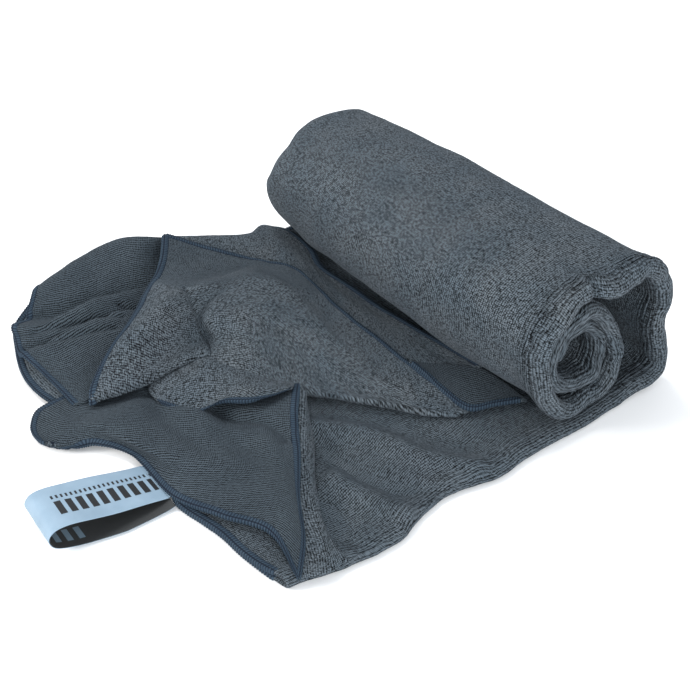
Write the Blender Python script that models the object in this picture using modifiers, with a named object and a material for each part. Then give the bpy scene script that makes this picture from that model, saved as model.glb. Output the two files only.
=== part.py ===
"""Quick dry travel towel, half rolled up, with its other half lying loose and crumpled.

Metres, +Z up. The towel rests on z = 0. X runs along the roll, the loose end of the cloth
lies towards -Y, and the hang loop is sewn into the hem of that end.

The towel is folded in half lengthwise, so most of it is a double layer. Each state of the
cloth is a closed solid of its own: the rolled turns are spiral slabs, and the crumpled plies
are low heaps with the outer shape of the cloth. Hems are the bound edges, laid as rods.
"""
import math

import bmesh
import bpy

MM = 0.001

# Driving dimensions, in millimetres.
PLY = 2.7                     # one layer of terry cloth
DOUBLE = 2 * PLY              # the towel is folded in half lengthwise
GAP = 0.3                     # clearance kept between touching pieces
ROLL_END_FAR = -125.0         # x of the two ends of the roll
ROLL_END_NEAR = 137.0
HEM_RADIUS = 2.2              # half the width of the bound edge
RIBBON_THICKNESS = 0.8
RIBBON_WIDTH = 28.0
RIBBON_CENTRE_X = 36.0
HINGE_Y = -152.5              # centre of the front hem, where the hang loop is sewn in
HINGE_Z = 2.6

# Heights of the stack of layers.
LAID_TOP = DOUBLE
ON_LAID = LAID_TOP + GAP

# Mid-line of the rolled double layer in the (y, z) plane: up the back, over the top, down the
# front, then round again inside as a smaller coil with an open core.
ROLL_SECTION = [
    (79.5, 2.75), (98, 4.5), (114, 13), (124, 28), (127, 45), (122, 64), (109, 80), (90, 89.5),
    (70, 91), (52, 84), (39, 70), (33, 52), (34, 34), (42, 18), (58, 9.8), (76, 11), (91, 20),
    (98, 36), (96, 52), (86, 66), (70, 72), (55, 67), (46, 54), (43, 38),
]
OUTER_TURN_LAST = 13          # index of the section point where the outer turn ends
SECTION_STEPS = 4             # curve samples between two section points
CURVE_STEPS = 3               # curve samples between two points of every other curve
TURN_JOIN = 1.0               # the curved joint between the two stretches needs more than GAP

# Outline of the double layer that lies flat, counter-clockwise from the roll's far end.
LAID_OUTLINE = [
    (-112, 79), (-112, 42), (-102, 16), (-89.5, -12), (-89.5, -78), (-80, -105), (-66, -131), (-54, -144.5),
    (-30, -148.4), (-5, -148.4), (50, -148.4), (70, -143.8), (100, -138.8), (128, -135.3), (135, -131),
    (138, -122), (140, -90), (141, -60), (137, -36), (142, -6), (141, 36), (141, 79),
]

# Crumpled plies: rows of (x, y, top z). The underside of each is level.
UPPER_PLY_ROWS = [
    [(-49, 4, 20), (-8, 3, 14), (30, 5, 11.5), (74, 5, 9.5), (98, 8, 9)],
    [(-48, -20, 30), (-8, -18, 20), (30, -12, 14), (70, -6, 10.5), (97, 2, 9)],
    [(-46, -42, 33), (-5, -36, 24), (33, -30, 16), (66, -17, 10.5), (94, -4, 9)],
    [(-42, -64, 32), (-6, -58, 22), (32, -47, 13), (60, -28, 9), (84, -12, 8.5)],
]
CENTRAL_FOLD_ROWS = [
    [(-76, 2, 10), (-68, 4, 18), (-60, 5, 20), (-50, 4, 20)],
    [(-82, -16, 16), (-72, -12, 26), (-60, -10, 30), (-49, -20, 30)],
    [(-80, -42, 18), (-70, -40, 34), (-58, -38, 37), (-47, -42, 33)],
    [(-80, -70, 16), (-70, -72, 36), (-57, -72, 41), (-43, -65, 32)],
    [(-72, -94, 12), (-60, -96, 30), (-50, -92, 35), (-36, -86, 26)],
    [(-62, -120, 9), (-52, -118, 26), (-42, -114, 29), (-32, -106, 18)],
    [(-48, -134, 8), (-42, -132, 14), (-36, -126, 16), (-32, -118, 10)],
]
LEFT_SIDE_ROWS = [
    [(-118, 28, 5), (-110, 24, 8), (-104, 14, 7)],
    [(-126, -8, 10), (-108, -8, 14), (-91, -14, 10)],
    [(-133, -40, 22), (-110, -46, 24), (-91, -44, 14)],
    [(-137, -76, 24), (-112, -82, 20), (-91, -78, 14)],
    [(-138, -104, 20), (-108, -110, 25), (-82, -106, 14)],
    [(-131, -136, 18), (-104, -134, 23), (-68, -132, 11)],
    [(-116, -158, 8), (-92, -158, 14), (-56, -146, 9)],
]
TURNED_CORNER_ROWS = [
    [(-26, -120, 9), (2, -104, 11), (24, -86, 14), (38, -68, 15)],
    [(-20, -132, 9), (10, -116, 10), (34, -100, 12), (58, -86, 13)],
    [(-12, -141, 8), (22, -128, 9), (56, -114, 10), (90, -108, 10)],
    [(-6, -145, 7.5), (26, -137, 8), (62, -131, 8.5), (112, -124, 8.5)],
]
SMALL_FLAP_BASE = 16.0
SMALL_FLAP_ROWS = [
    [(-28, -87, 26), (-8, -79, 24), (14, -71, 21), (28, -64, 19)],
    [(-28, -98, 22), (-10, -92, 22), (10, -84, 20.5), (26, -72, 19)],
    [(-26, -110, 18), (-12, -106, 18.5), (6, -96, 18.5), (24, -78, 18)],
]
FRONT_CORNER_OUTLINE = [
    (-8, -150.8), (-9, -160), (-14, -170), (-30, -182), (-43, -181), (-49, -175), (-53, -165),
    (-54, -154), (-30, -150.8),
]

# Hem rods: hand-placed centre points along each bound edge.
HEM_PATHS = {
    "hem_front_end": [
        (-2, -153.5, 2.6), (25, HINGE_Y, HINGE_Z), (48, HINGE_Y, HINGE_Z), (70, -146.4, 2.6),
        (100, -141.4, 2.6), (128, -138, 2.6), (136, -134, 2.6),
    ],
    "hem_second_ply": [
        (64, -137.5, 8.1), (78, -135.5, 8.1), (96, -131, 8.1), (114, -127.4, 8.1), (124, -127, 8.1),
    ],
    "hem_turned_corner": [
        (42, -66.5, 14), (62, -83.5, 12), (82, -97.5, 10.5), (100, -108, 9.2), (114, -117, 8.1),
        (126, -120, 8.1),
    ],
    "hem_upper_ply": [
        (-102, 19, 12), (-88, 14, 16), (-70, 9.6, 20), (-49, 8.2, 19), (-8, 7, 14), (30, 9, 11), (74, 9, 9.5),
        (96, 13, 9), (104, 24, 8.4),
    ],
    "hem_under_roll": [
        (-104, 36, 8.1), (-63, 28, 8.1), (-16, 24, 8.1), (39, 27, 8.1), (73, 27, 8.1),
    ],
    "hem_beside_roll": [
        (-102, 42.5, 8.1), (-63, 34, 8.1), (-16, 30, 8.1), (39, 33, 8.1), (80, 33, 8.1),
    ],
    "hem_central_fold": [
        (-86.5, -18, 20), (-86.5, -44, 22), (-85.5, -70, 20), (-77.5, -96, 18), (-67, -123, 15),
        (-53, -136.5, 12),
    ],
    "hem_left_side": [
        (-121, -161, 7), (-100, -162.2, 6), (-80, -159.5, 5), (-66, -155.5, 4), (-58.5, -152, 3),
    ],
    "hem_front_corner": [
        (-56.4, -157, 2.6), (-56, -166, 2.6), (-51.6, -176.5, 2.6), (-44.5, -183.9, 2.6), (-29, -185, 2.6),
        (-11.6, -171.8, 2.6), (-6.2, -160.5, 2.6),
    ],
    "hem_small_flap": [
        (-29, -113.5, 17), (-12, -109.6, 17.5), (8, -99.6, 17.5), (22, -85, 17.2), (29, -76, 17),
    ],
}

# Side view of the hang loop in (distance from the hinge, height) with the fold at its far end.
LOOP_PROFILE = [
    (3.1, 4.4), (12, 7.6), (26, 12.0), (42, 16.0), (54, 17.2), (61, 15.0), (64, 10.0), (61.5, 4.6),
    (54, 1.6), (38, 0.9), (20, 0.9), (5.2, 1.0),
]


def clear_scene():
    """Remove every object, so that the script can be run again in an open file."""
    for item in list(bpy.data.objects):
        bpy.data.objects.remove(item, do_unlink=True)


def make_material(name, colour, roughness):
    """A Principled BSDF with one colour and roughness."""
    material = bpy.data.materials.new(name)
    material.use_nodes = True
    shader = material.node_tree.nodes["Principled BSDF"]
    shader.inputs["Base Color"].default_value = (*colour, 1.0)
    shader.inputs["Roughness"].default_value = roughness
    shader.inputs["Metallic"].default_value = 0.0
    return material


def add_object(name, data, collection, material):
    """Link a new object made from mesh or curve data."""
    item = bpy.data.objects.new(name, data)
    collection.objects.link(item)
    data.materials.append(material)
    return item


def spline_point(p0, p1, p2, p3, t):
    """Catmull-Rom curve between p1 and p2."""
    return tuple(
        0.5 * (2 * b + (c - a) * t + (2 * a - 5 * b + 4 * c - d) * t * t + (3 * b - a - 3 * c + d) * t ** 3)
        for a, b, c, d in zip(p0, p1, p2, p3)
    )


def smooth_line(points, steps):
    """Sample a smooth curve through the points, with the given steps between two of them."""
    line = []
    last = len(points) - 1
    for i in range(last):
        before = points[max(i - 1, 0)]
        after = points[min(i + 2, last)]
        for k in range(steps):
            line.append(spline_point(before, points[i], points[i + 1], after, k / steps))
    line.append(tuple(points[last]))
    return line


def smooth_grid(rows, steps):
    """Sample a smooth surface through rows of points, across each row and then along them."""
    across = [smooth_line(row, steps) for row in rows]
    columns = [smooth_line(list(column), steps) for column in zip(*across)]
    return [list(row) for row in zip(*columns)]


def grid_mesh(name, columns, rows):
    """A flat grid from Blender's own operator, with its vertices still to be placed."""
    mesh = bpy.data.meshes.new(name)
    bm = bmesh.new()
    bmesh.ops.create_grid(bm, x_segments=columns - 1, y_segments=rows - 1, size=1.0)
    return mesh, bm


def sorted_grid_vertices(bm, columns):
    """The grid's vertices row by row."""
    ordered = sorted(bm.verts, key=lambda v: (round(v.co.y, 5), round(v.co.x, 5)))
    return [ordered[i:i + columns] for i in range(0, len(ordered), columns)]


def heap(name, rows, base, collection, material):
    """A closed solid under a smooth surface through the rows, with a level underside."""
    surface = smooth_grid(rows, CURVE_STEPS)
    mesh, bm = grid_mesh(name, len(surface[0]), len(surface))
    for vertices, points in zip(sorted_grid_vertices(bm, len(surface[0])), surface):
        for vertex, (x, y, z) in zip(vertices, points):
            vertex.co = (x * MM, y * MM, max(z, base + PLY) * MM)
    extruded = bmesh.ops.extrude_face_region(bm, geom=list(bm.faces))
    for vertex in extruded["geom"]:
        if isinstance(vertex, bmesh.types.BMVert):
            vertex.co.z = base * MM
    bmesh.ops.recalc_face_normals(bm, faces=list(bm.faces))
    bm.to_mesh(mesh)
    bm.free()
    return add_object(name, mesh, collection, material)


def slab(name, outline, base, top, collection, material):
    """A level slab of cloth with a smooth outline."""
    curve = bpy.data.curves.new(name, "CURVE")
    curve.dimensions = "2D"
    curve.fill_mode = "BOTH"
    curve.extrude = (top - base) / 2 * MM
    spline = curve.splines.new("POLY")
    spline.points.add(len(outline) - 1)
    for point, (x, y) in zip(spline.points, outline):
        point.co = (x * MM, y * MM, 0, 1)
    spline.use_cyclic_u = True
    item = add_object(name, curve, collection, material)
    item.location.z = (top + base) / 2 * MM
    return item


def rolled_slab(name, section, collection, material):
    """A spiral stretch of the double layer: an open ribbon across the towel with a thickness."""
    mesh, bm = grid_mesh(name, len(section), 2)
    ends = (ROLL_END_FAR, ROLL_END_NEAR)
    for vertices, x in zip(sorted_grid_vertices(bm, len(section)), ends):
        for vertex, (y, z) in zip(vertices, section):
            vertex.co = (x * MM, y * MM, z * MM)
    bm.to_mesh(mesh)
    bm.free()
    item = add_object(name, mesh, collection, material)
    solid = item.modifiers.new("thickness", "SOLIDIFY")
    solid.thickness = (DOUBLE - GAP) * MM
    solid.offset = 0.0
    solid.use_even_offset = True
    return item


def hem_rod(name, path, collection, material):
    """A bound edge as a round rod through its centre points."""
    curve = bpy.data.curves.new(name, "CURVE")
    curve.dimensions = "3D"
    curve.bevel_depth = HEM_RADIUS * MM
    curve.bevel_resolution = 2
    curve.use_fill_caps = True
    line = smooth_line(path, CURVE_STEPS)
    spline = curve.splines.new("POLY")
    spline.points.add(len(line) - 1)
    for point, (x, y, z) in zip(spline.points, line):
        point.co = (x * MM, y * MM, z * MM, 1)
    return add_object(name, curve, collection, material)


def hang_loop(collection, material):
    """The ribbon loop, with its origin on the seam about which it swings."""
    profile = smooth_line(LOOP_PROFILE, CURVE_STEPS)
    mesh, bm = grid_mesh("hang_loop", len(profile), 2)
    sides = (-RIBBON_WIDTH / 2, RIBBON_WIDTH / 2)
    for vertices, x in zip(sorted_grid_vertices(bm, len(profile)), sides):
        for vertex, (reach, height) in zip(vertices, profile):
            vertex.co = (x * MM, -reach * MM, (height - HINGE_Z) * MM)
    bm.to_mesh(mesh)
    bm.free()
    item = add_object("hang_loop", mesh, collection, material)
    solid = item.modifiers.new("thickness", "SOLIDIFY")
    solid.thickness = RIBBON_THICKNESS * MM
    solid.offset = 0.0
    return item


def cut_after(line, distance):
    """Drop the first stretch of a line, so that it starts the given distance further on."""
    (y0, z0), (y1, z1) = line[0], line[1]
    share = distance / math.hypot(y1 - y0, z1 - z0)
    return [(y0 + (y1 - y0) * share, z0 + (z1 - z0) * share)] + line[1:]


def build():
    """Make every piece of the towel."""
    clear_scene()
    towel = bpy.data.collections.new("quick_dry_towel")
    bpy.context.scene.collection.children.link(towel)
    terry = make_material("terry_cloth", (0.075, 0.092, 0.112), 0.95)
    thread = make_material("hem_thread", (0.033, 0.055, 0.085), 0.8)
    ribbon = make_material("ribbon", (0.38, 0.52, 0.65), 0.45)

    section = smooth_line(ROLL_SECTION, SECTION_STEPS)
    split = OUTER_TURN_LAST * SECTION_STEPS
    rolled_slab("rolled_outer_turn", section[:split + 1], towel, terry)
    rolled_slab("rolled_inner_coil", cut_after(section[split:], TURN_JOIN), towel, terry)

    slab("laid_double_layer", LAID_OUTLINE, 0.0, LAID_TOP, towel, terry)
    slab("loose_front_corner", FRONT_CORNER_OUTLINE, 0.0, LAID_TOP, towel, terry)
    heap("upper_ply", UPPER_PLY_ROWS, ON_LAID, towel, terry)
    heap("central_fold", CENTRAL_FOLD_ROWS, ON_LAID, towel, terry)
    heap("crumpled_left_side", LEFT_SIDE_ROWS, 0.0, towel, terry)
    heap("turned_corner", TURNED_CORNER_ROWS, ON_LAID, towel, terry)
    heap("small_flap", SMALL_FLAP_ROWS, SMALL_FLAP_BASE, towel, terry)

    for name, path in HEM_PATHS.items():
        hem_rod(name, path, towel, thread)

    seam = bpy.data.objects.new("loop_seam", None)
    towel.objects.link(seam)
    seam.location = (RIBBON_CENTRE_X * MM, HINGE_Y * MM, HINGE_Z * MM)
    hang_loop(towel, ribbon).parent = seam


build()
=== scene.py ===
"""Quick dry towel: folded double lengthwise, rolled up from one end, and crumpled at its hang loop's end.

Every length in the listed tables is in millimetres in the frame's own axes.
"""

import math

import bmesh
import bpy
import numpy as np
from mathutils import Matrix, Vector


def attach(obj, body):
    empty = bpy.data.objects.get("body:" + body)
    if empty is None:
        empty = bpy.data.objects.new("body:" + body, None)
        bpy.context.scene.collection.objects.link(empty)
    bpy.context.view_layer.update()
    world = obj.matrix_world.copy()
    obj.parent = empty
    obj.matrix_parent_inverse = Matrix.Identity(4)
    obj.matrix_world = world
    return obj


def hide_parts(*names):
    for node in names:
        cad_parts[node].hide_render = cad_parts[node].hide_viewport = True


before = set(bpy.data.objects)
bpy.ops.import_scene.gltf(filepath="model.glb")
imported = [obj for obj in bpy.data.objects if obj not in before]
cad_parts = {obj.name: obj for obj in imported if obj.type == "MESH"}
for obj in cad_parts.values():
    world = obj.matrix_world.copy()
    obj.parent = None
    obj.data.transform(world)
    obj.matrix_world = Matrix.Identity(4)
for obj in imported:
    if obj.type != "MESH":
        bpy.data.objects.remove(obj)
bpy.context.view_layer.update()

MM = 0.001
PLY = 2.2  # one layer of terry microfibre
RIBBON_THICKNESS = 0.5
BODY_SPACING = 2.2  # between mesh points over the folded and rolled cloth
LOOSE_SPACING = 1.25  # between mesh points over a loose ply
FINE_SPACING = 0.8  # between mesh points along the ribbon and round the folded lip
RIPPLE_CELLS = 61  # random heights along each side of the lattice that ripples are read from

HEM_STEP = 0.27  # between rings of points along a hem
HEM_SIDES = 18  # points round a hem
HEM_PITCH = 1.7  # between turns of thread
HEM_WIDTH = 4.5
HEM_HALF_THICKNESS = 1.5
HEM_OVERHANG = 1.3  # how far a hem stands out beyond the cloth's own edge

ROW_PITCH = 0.00135  # between rows of loops, in metres as the materials use it
WALE_PITCH = 0.00100  # between loops along a row, in metres

RIDE_TOWEL = "towel"
RIDE_LOOP = "hang_loop"

CAMERA_PLACE = (0.4841, -0.3658, 0.4741)  # metres; it looks at the frame's origin
CAMERA_LENS = 66.9
CAMERA_SENSOR = 36.0

# Name, place, aim and side in metres, power in watts, and colour of each soft light
LIGHTS = [
    ("key_light", (-0.50, -1.12, 0.54), (0.0, 0.0, 0.02), 0.36, 12.5, (1.0, 0.98, 0.95)),
    ("side_light", (1.1, -0.35, 0.34), (0.05, 0.0, 0.03), 0.6, 14.0, (0.95, 0.98, 1.0)),
    ("top_light", (-0.45, 0.0, 1.1), (0.0, 0.0, 0.02), 0.5, 7.5, (0.95, 0.98, 1.0)),
]
FLOOR_HALF = 6.0  # metres
FLOOR_DROP = 0.0004  # metres below the frame's resting plane


# Camera, floor and lights


def make_camera():
    """The camera, 0.77 m from the frame's origin and looking at it."""
    data = bpy.data.cameras.new("camera")
    data.lens = CAMERA_LENS
    data.sensor_width = CAMERA_SENSOR
    camera = bpy.data.objects.new("camera", data)
    camera.location = CAMERA_PLACE
    camera.rotation_mode = "QUATERNION"
    camera.rotation_quaternion = (-camera.location).to_track_quat("-Z", "Y")
    bpy.context.scene.collection.objects.link(camera)
    bpy.context.scene.camera = camera


def area_light(name, place, aim, side, power, colour):
    """A square soft light of that side, in metres, pointing at aim."""
    data = bpy.data.lights.new(name, "AREA")
    data.shape = "SQUARE"
    data.size = side
    data.energy = power
    data.color = colour
    light = bpy.data.objects.new(name, data)
    light.location = place
    light.rotation_mode = "QUATERNION"
    light.rotation_quaternion = (Vector(aim) - Vector(place)).to_track_quat("-Z", "Y")
    bpy.context.scene.collection.objects.link(light)


def make_world():
    """An even pale surround."""
    world = bpy.data.worlds.new("studio")
    world.use_nodes = True
    background = world.node_tree.nodes["Background"]
    background.inputs["Color"].default_value = (0.93, 0.96, 1.0, 1.0)
    background.inputs["Strength"].default_value = 0.95
    bpy.context.scene.world = world
    bpy.context.scene.view_settings.view_transform = "Standard"


def make_floor():
    """A plain pale floor."""
    half = FLOOR_HALF
    corners = [(-half, -half, 0), (half, -half, 0), (half, half, 0), (-half, half, 0)]
    mesh = bpy.data.meshes.new("floor")
    mesh.from_pydata(corners, [], [(0, 1, 2, 3)])
    floor = bpy.data.objects.new("floor", mesh)
    floor.location.z = -FLOOR_DROP
    bpy.context.scene.collection.objects.link(floor)
    material = bpy.data.materials.new("floor_white")
    material.use_nodes = True
    shader = material.node_tree.nodes["Principled BSDF"]
    shader.inputs["Base Color"].default_value = (0.92, 0.92, 0.92, 1.0)
    shader.inputs["Roughness"].default_value = 0.9
    mesh.materials.append(material)


def make_studio():
    """The camera, the surround, the lights and the floor."""
    make_camera()
    make_world()
    for light in LIGHTS:
        area_light(*light)
    make_floor()


# Smooth lines and surfaces


def catmull(values, at):
    """Points on the smooth curve through values, along their first axis. Place 0 is the first value."""
    before = 2 * values[:1] - values[1:2]
    after = 2 * values[-1:] - values[-2:-1]
    knots = np.concatenate([before, values, after])
    index = np.clip(at.astype(int), 0, len(values) - 2)
    t = (at - index).reshape(at.shape + (1,) * (values.ndim - 1))
    a, b, c, d = (knots[index + k] for k in range(4))
    slope = c - a
    bend = 2 * a - 5 * b + 4 * c - d
    rest = 3 * b - a - 3 * c + d
    return 0.5 * (2 * b + slope * t + bend * t**2 + rest * t**3)


def even_places(values, spacing):
    """Places along the first axis of values that are about spacing apart on its curves."""
    dense = np.linspace(0, len(values) - 1, 24 * (len(values) - 1) + 1)
    steps = np.linalg.norm(np.diff(catmull(values, dense), axis=0), axis=-1)
    if steps.ndim > 1:
        steps = steps.mean(axis=1)
    length = np.concatenate([[0.0], np.cumsum(steps)])
    count = max(3, int(round(length[-1] / spacing)) + 1)
    return np.interp(np.linspace(0, length[-1], count), length, dense)


def lengths_along(line):
    """How far along a line each of its points lies."""
    return np.concatenate([[0.0], np.cumsum(np.linalg.norm(np.diff(line, axis=0), axis=-1))])


def smooth_sheet(rows, spacing):
    """A grid of points about spacing apart, through rows of control points."""
    rows = np.array(rows, float)
    grid = catmull(rows, even_places(rows, spacing)).swapaxes(0, 1)
    return catmull(grid, even_places(grid, spacing)).swapaxes(0, 1)


def unit(vectors):
    """vectors, each made one long."""
    return vectors / np.maximum(np.linalg.norm(vectors, axis=-1, keepdims=True), 1e-9)


def normals(grid):
    """The unit normal at each point of a grid."""
    return unit(np.cross(np.gradient(grid, axis=0), np.gradient(grid, axis=1)))


def smooth_rows(values, reach=16):
    """Each column of values averaged softly over neighbouring rows."""
    share = np.exp(-((np.arange(-2 * reach, 2 * reach + 1) / reach) ** 2))
    padded = np.pad(values, ((2 * reach, 2 * reach), (0, 0)), mode="edge")
    total = sum(part * padded[i : i + len(values)] for i, part in enumerate(share))
    return total / share.sum()


def cloth_places(grid):
    """Where each point of a grid lies on the flat cloth, in millimetres across and along it."""
    across = np.linalg.norm(np.diff(grid, axis=1), axis=-1)
    along = np.linalg.norm(np.diff(grid, axis=0), axis=-1)
    u = np.pad(np.cumsum(across, axis=1), ((0, 0), (1, 0)))
    v = np.pad(np.cumsum(along, axis=0), ((1, 0), (0, 0)))
    u = smooth_rows(u - u[:, u.shape[1] // 2, None])
    v = smooth_rows((v - v[v.shape[0] // 2]).T).T
    return np.stack([u - u.min(), v - v.min()], axis=-1)


def ripple(places, size, seed):
    """A smooth random height from -1 to 1 over places, with bumps about size across."""
    lattice = np.random.default_rng(seed).uniform(-1, 1, (RIPPLE_CELLS, RIPPLE_CELLS))
    turn = 0.5 + seed
    u = places[..., 0] * math.cos(turn) - places[..., 1] * math.sin(turn)
    v = places[..., 0] * math.sin(turn) + places[..., 1] * math.cos(turn)
    scaled = np.stack([u, v], axis=-1) / size
    low = np.floor(scaled).astype(int)
    part = scaled - low
    part = part * part * (3 - 2 * part)
    i = low[..., 0] % RIPPLE_CELLS
    j = low[..., 1] % RIPPLE_CELLS
    i2 = (i + 1) % RIPPLE_CELLS
    j2 = (j + 1) % RIPPLE_CELLS
    first = lattice[i, j] * (1 - part[..., 1]) + lattice[i, j2] * part[..., 1]
    second = lattice[i2, j] * (1 - part[..., 1]) + lattice[i2, j2] * part[..., 1]
    return first * (1 - part[..., 0]) + second * part[..., 0]


def groove(grid, path, depth, width):
    """The grid pressed down by depth along a path over it, seen from above."""
    path = np.array(path, float)
    line = catmull(path, even_places(path, 1.0))[:, :2]
    gap = np.full(grid.shape[:2], np.inf)
    for point in line:
        gap = np.minimum(gap, np.hypot(grid[..., 0] - point[0], grid[..., 1] - point[1]))
    pressed = grid.copy()
    pressed[..., 2] -= depth * np.exp(-((gap / width) ** 2))
    return pressed


def creased(grid, creases):
    """The grid with every crease of a table pressed into it. One of negative depth is a ridge."""
    for path, depth, width in creases:
        grid = groove(grid, path, depth, width)
    return grid


# Meshes


def make_piece(name, vertices, faces, places, pile, material, body):
    """A mesh object in metres from millimetre points, with where each point is on the flat cloth."""
    mesh = bpy.data.meshes.new(name)
    mesh.from_pydata((vertices * MM).tolist(), [], faces)
    solid = bmesh.new()
    solid.from_mesh(mesh)
    if solid.calc_volume(signed=True) < 0:
        mesh.flip_normals()
    solid.free()
    mesh.polygons.foreach_set("use_smooth", [True] * len(mesh.polygons))
    mesh.attributes.new("weave", "FLOAT_VECTOR", "POINT").data.foreach_set(
        "vector", (places * MM).ravel()
    )
    mesh.attributes.new("pile", "FLOAT", "POINT").data.foreach_set("value", pile.ravel())
    mesh.update()
    piece = bpy.data.objects.new(name, mesh)
    mesh.materials.append(material)
    bpy.context.scene.collection.objects.link(piece)
    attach(piece, body)
    return piece


def outward(grid, axis):
    """Unit directions out of the grid's first and last lines along an axis."""
    lines = np.moveaxis(grid, axis, 0)
    return unit(lines[0] - lines[1]), unit(lines[-1] - lines[-2])


def closed_faces(rows, columns):
    """Which points of a grid are off its rim, and the faces of a closed solid made of two such grids.

    The two grids share the rim. The second grid's other points are numbered after all of the first grid's.
    """
    count = rows * columns
    inside = np.zeros((rows, columns), bool)
    inside[1:-1, 1:-1] = True
    index_top = np.arange(count).reshape(rows, columns)
    index_under = index_top.copy()
    index_under[inside] = count + np.arange(inside.sum())

    def quads(index, flip):
        a = index[:-1, :-1].ravel()
        b = index[:-1, 1:].ravel()
        c = index[1:, 1:].ravel()
        d = index[1:, :-1].ravel()
        order = [a, b, c, d] if flip else [a, d, c, b]
        return np.stack(order, axis=1).tolist()

    return inside, quads(index_top, True) + quads(index_under, False)


def thicken(grid, thickness, places, pile_top, pile_under, lump):
    """A closed solid of that thickness about a grid, with round edges: points, faces, places and pile."""
    # How far round its rim the solid is: 0 over the grid itself, and 1 at the outermost line
    turns = np.array([1.0, 0.5, *([0.0] * grid.shape[0]), 0.5, 1.0])
    turns_across = np.array([1.0, 0.5, *([0.0] * grid.shape[1]), 0.5, 1.0])
    edge = ((2, 2), (2, 2))
    middle = np.pad(grid, (*edge, (0, 0)), mode="edge")
    normal = np.pad(normals(grid), (*edge, (0, 0)), mode="edge")
    flat = np.pad(places, (*edge, (0, 0)), mode="edge")

    out = np.zeros_like(middle)
    first, last = outward(grid, 0)
    out[:2] += np.pad(first, ((2, 2), (0, 0)), mode="edge")
    out[-2:] += np.pad(last, ((2, 2), (0, 0)), mode="edge")
    first, last = outward(grid, 1)
    out[:, :2] += np.pad(first, ((2, 2), (0, 0)), mode="edge")[:, None]
    out[:, -2:] += np.pad(last, ((2, 2), (0, 0)), mode="edge")[:, None]
    out = unit(out)

    turn = np.maximum(turns[:, None], turns_across[None, :]) * math.pi / 2
    half = thickness / 2
    rise = (np.cos(turn) * half)[..., None] * normal
    reach = (np.sin(turn) * half)[..., None] * out
    rough_top = lump * (ripple(flat, 3.1, 3) + ripple(flat, 1.7, 8)) * np.cos(turn)
    rough_under = lump * (ripple(flat, 3.1, 5) + ripple(flat, 1.7, 9)) * np.cos(turn)
    top = middle + rise + reach + rough_top[..., None] * normal
    under = middle - rise + reach - rough_under[..., None] * normal

    inside, faces = closed_faces(*middle.shape[:2])
    points = np.concatenate([top.reshape(-1, 3), under[inside]])

    spread = flat.copy()
    over_rim = turn * half
    spread[:2, :, 1] -= over_rim[:2]
    spread[-2:, :, 1] += over_rim[-2:]
    spread[:, :2, 0] -= over_rim[:, :2]
    spread[:, -2:, 0] += over_rim[:, -2:]
    where = np.concatenate([spread.reshape(-1, 2), spread[inside]])
    layer = np.concatenate([np.zeros(inside.size), np.ones(inside.sum())])
    where = np.column_stack([where, layer])
    pile = np.concatenate(
        [np.pad(pile_top, edge, mode="edge").ravel(), np.pad(pile_under, edge, mode="edge")[inside]]
    )
    return points, faces, where, pile


def cloth(name, grid, pile_top=1.0, pile_under=1.0, lump=0.045, turned=False):
    """A ply of the towel about a grid. Its pile is 1 where it is terry and 0 where it is flat knit.

    The rows of loops run along the grid's rows, or across them if turned.
    """
    top = np.broadcast_to(pile_top, grid.shape[:2])
    under = np.broadcast_to(pile_under, grid.shape[:2])
    points, faces, where, pile = thicken(grid, PLY, cloth_places(grid), top, under, lump)
    if turned:
        where = where[:, [1, 0, 2]]
    piece = make_piece(name, points, faces, where, pile, CLOTH, RIDE_TOWEL)
    return piece


def hem(name, edge, inward, normal):
    """An overlocked hem round a cloth edge: a cord along the edge and a band of stitches over it."""
    places = even_places(edge, HEM_STEP)
    line = catmull(edge, places)
    into = catmull(inward, places)
    up = unit(catmull(normal, places))
    into = unit(into - up * (into * up).sum(axis=-1, keepdims=True))
    run = lengths_along(line)

    # The section is a flattened oval. Depth is how far into the cloth a point is from the cloth's edge.
    angle = np.linspace(0, 2 * math.pi, HEM_SIDES, endpoint=False)
    cos, sin = np.cos(angle), np.sin(angle)
    middle = HEM_WIDTH / 2 - HEM_OVERHANG
    depth = middle - HEM_WIDTH / 2 * np.sign(cos) * np.abs(cos) ** 0.75
    height = HEM_HALF_THICKNESS * np.sign(sin) * np.abs(sin) ** 0.7 * (1 + 0.16 * cos)
    phase = run[:, None] / HEM_PITCH + 0.10 * depth[None, :] / HEM_WIDTH
    thread = np.abs(np.cos(math.pi * phase)) ** 1.6
    outer = np.clip(cos, 0, 1) ** 2
    groove_band = np.exp(-(((depth + 0.3) / 0.4) ** 2))
    swell = 0.16 * thread * (1 - outer) + 0.50 * thread * outer - 0.35 * groove_band
    taper = np.clip(np.minimum(run, run[-1] - run) / 1.6, 0.0, 1.0)
    taper = np.sqrt(1 - (1 - taper) ** 2) * 0.9 + 0.1
    spread = taper[:, None] * (depth[None, :] - middle - swell * cos)
    lift = taper[:, None] * (height[None, :] + swell * np.sign(sin) * np.abs(sin))
    centre = line + into * middle
    rings = centre[:, None] + into[:, None] * spread[..., None] + up[:, None] * lift[..., None]

    count, sides = rings.shape[:2]
    index = np.arange(count * sides).reshape(count, sides)
    beside = np.roll(index, -1, axis=1)
    quads = np.stack([index[:-1], beside[:-1], beside[1:], index[1:]], axis=-1)
    faces = quads.reshape(-1, 4).tolist()
    faces += [index[0][::-1].tolist(), index[-1].tolist()]
    where = np.stack(
        [np.repeat(run, sides), np.tile(depth, count), np.tile(np.sign(sin), count)], axis=-1
    )
    points = rings.reshape(-1, 3)
    piece = make_piece(name, points, faces, where, thread.ravel(), HEM, RIDE_TOWEL)
    return piece


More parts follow.
